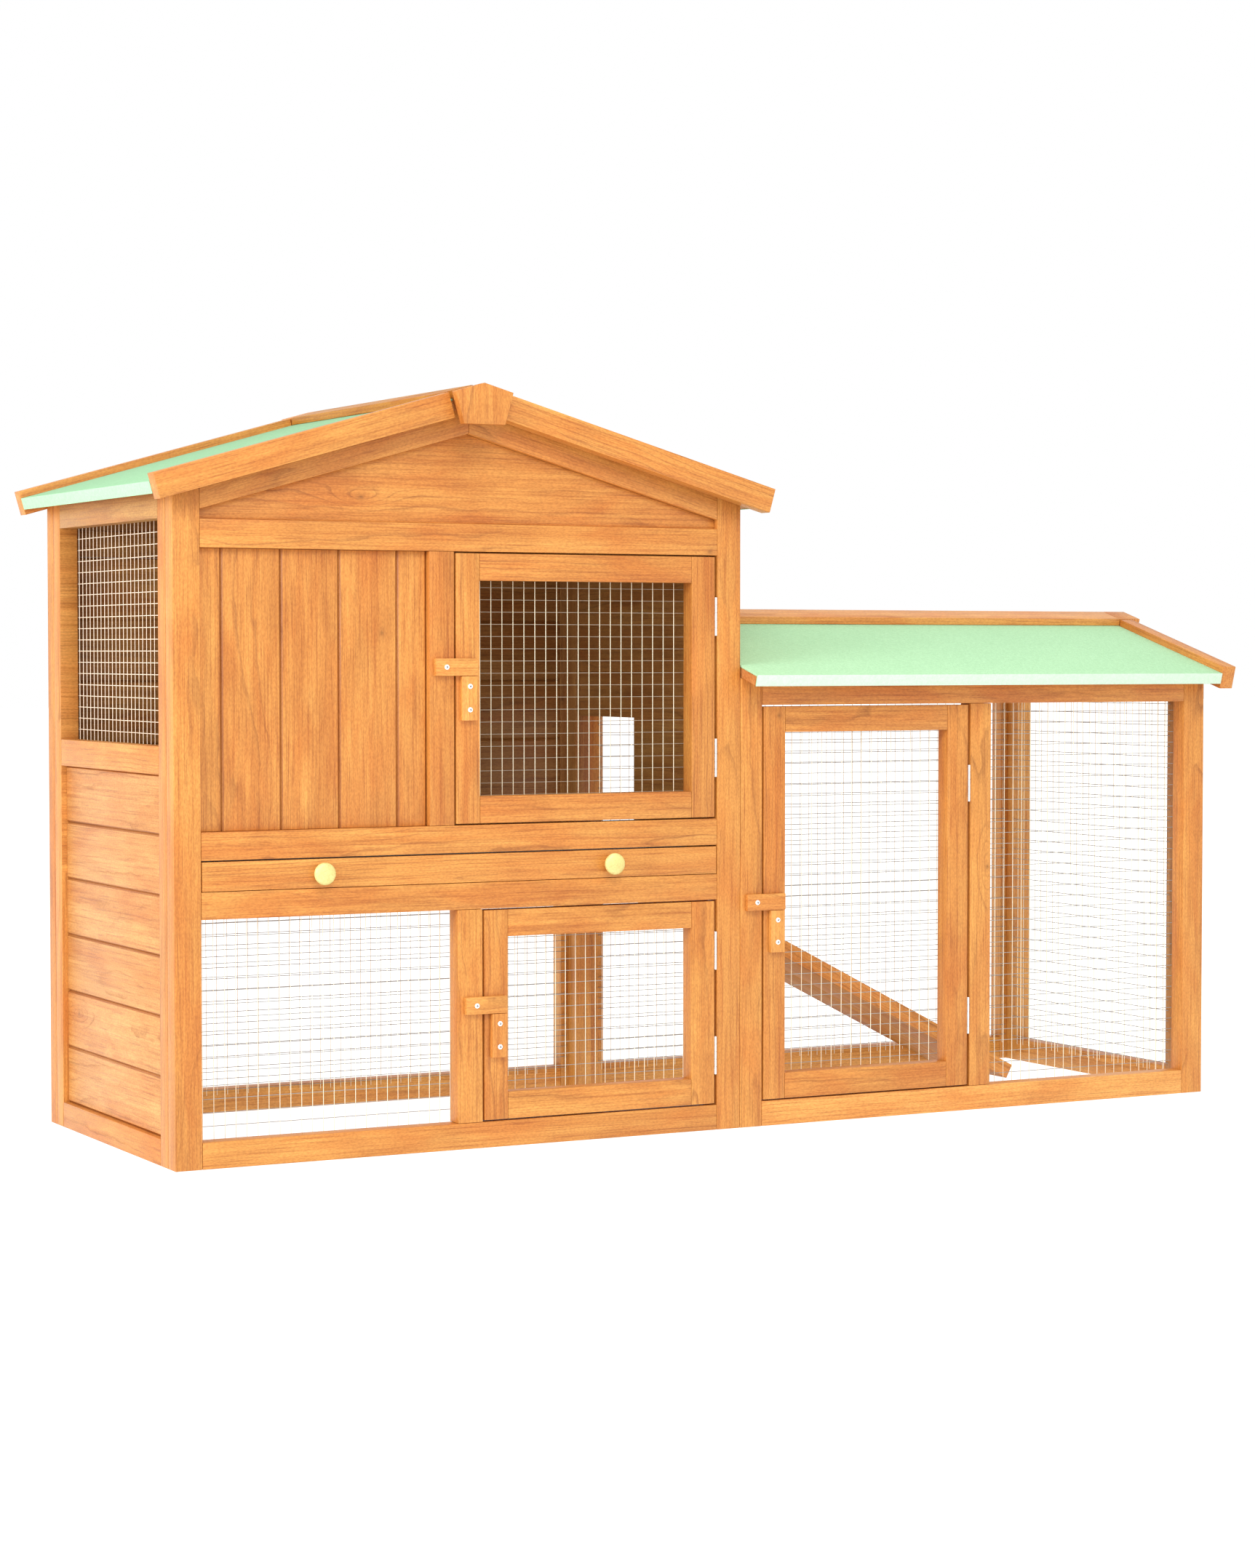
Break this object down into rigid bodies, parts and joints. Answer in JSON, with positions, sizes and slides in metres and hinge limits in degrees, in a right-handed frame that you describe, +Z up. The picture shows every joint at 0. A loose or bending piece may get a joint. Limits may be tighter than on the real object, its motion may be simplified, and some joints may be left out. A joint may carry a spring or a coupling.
{
  "type": "rabbit hutch",
  "caption": "Two-storey wooden rabbit hutch with a side run, wire mesh doors held by turn buttons, a slide-out tray, an inner ramp and felted pitched roofs.",
  "frame": {"origin": "on the ground under the middle of the whole object, roof overhangs included", "axes": "+X along the front from the tall house to the run, +Y from the front to the back, +Z up"},
  "size_m": [1.5446, 0.5482, 0.9184],
  "materials": {
    "honey_wood": "satin stained softwood",
    "pale_wood": "satin clear varnish",
    "green_felt": "matte mineral roofing felt",
    "galvanised_wire": "bright galvanised",
    "zinc_plate": "bright zinc plate",
    "tray_sheet": "galvanised sheet"
  },
  "bodies": {
    "root": {"house_back_barge": "honey_wood", "house_back_frame": "honey_wood", "house_back_mesh": "galvanised_wire", "house_back_planks": "honey_wood", "house_deck_rail": "honey_wood", "house_front_base_rail": "honey_wood", "house_front_gable": "honey_wood", "house_front_key": "honey_wood", "house_front_left_barge": "honey_wood", "house_front_left_post": "honey_wood", "house_front_right_barge": "honey_wood", "house_front_right_post": "honey_wood", "house_gable_rail": "honey_wood", "house_left_frame": "honey_wood", "house_left_mesh": "galvanised_wire", "house_left_roof": "green_felt", "house_left_slats": "honey_wood", "house_lower_mesh": "galvanised_wire", "house_lower_mullion": "honey_wood", "house_lower_rail": "honey_wood", "house_plank_panel": "honey_wood", "house_ridge_cap": "honey_wood", "house_right_frame": "honey_wood", "house_right_roof": "green_felt", "house_right_wall": "honey_wood", "house_upper_mullion": "honey_wood", "lower_door_lower_hinge": "zinc_plate", "lower_door_upper_hinge": "zinc_plate", "run_back_frame": "honey_wood", "run_back_mesh": "galvanised_wire", "run_back_roof": "green_felt", "run_barge": "honey_wood", "run_door_lower_hinge": "zinc_plate", "run_door_upper_hinge": "zinc_plate", "run_front_frame": "honey_wood", "run_front_mesh": "galvanised_wire", "run_front_roof": "green_felt", "run_ramp": "honey_wood", "run_ridge_cap": "honey_wood", "run_right_frame": "honey_wood", "run_right_mesh": "galvanised_wire", "tray_shelf": "honey_wood", "upper_door_lower_hinge": "zinc_plate", "upper_door_upper_hinge": "zinc_plate"},
    "upper_door": {"upper_door_frame": "honey_wood", "upper_door_mesh": "galvanised_wire", "upper_door_catch_block": "honey_wood"},
    "lower_door": {"lower_door_frame": "honey_wood", "lower_door_mesh": "galvanised_wire", "lower_door_catch_block": "honey_wood"},
    "run_door": {"run_door_frame": "honey_wood", "run_door_mesh": "galvanised_wire", "run_door_catch_block": "honey_wood"},
    "upper_latch": {"upper_door_turn_button": "honey_wood"},
    "lower_latch": {"lower_door_turn_button": "honey_wood"},
    "run_latch": {"run_door_turn_button": "honey_wood"},
    "tray": {"tray_front": "honey_wood", "tray_pan": "tray_sheet", "tray_knob_left": "pale_wood", "tray_knob_right": "pale_wood"}
  },
  "joints": [
    {"name": "upper_door_hinge", "type": "hinge", "parent": "root", "child": "upper_door", "pos_m": [-0.024, -0.229, 0.3915], "axis": [0, 0, 1], "range_deg": [0, 105]},
    {"name": "lower_door_hinge", "type": "hinge", "parent": "root", "child": "lower_door", "pos_m": [-0.024, -0.229, 0.0315], "axis": [0, 0, 1], "range_deg": [0, 115]},
    {"name": "run_door_hinge", "type": "hinge", "parent": "root", "child": "run_door", "pos_m": [0.3557, -0.229, 0.0315], "axis": [0, 0, 1], "range_deg": [0, 120]},
    {"name": "tray_slide", "type": "slide", "parent": "root", "child": "tray", "axis": [0, -1, 0], "range_m": [0, 0.36]},
    {"name": "upper_latch_turn", "type": "hinge", "parent": "root", "child": "upper_latch", "pos_m": [-0.3969, -0.229, 0.5816], "axis": [0, -1, 0], "range_deg": [0, 180]},
    {"name": "lower_latch_turn", "type": "hinge", "parent": "root", "child": "lower_latch", "pos_m": [-0.3579, -0.229, 0.1738], "axis": [0, -1, 0], "range_deg": [0, 180]},
    {"name": "run_latch_turn", "type": "hinge", "parent": "root", "child": "run_latch", "pos_m": [0.0323, -0.229, 0.2845], "axis": [0, -1, 0], "range_deg": [0, 180]}
  ]
}
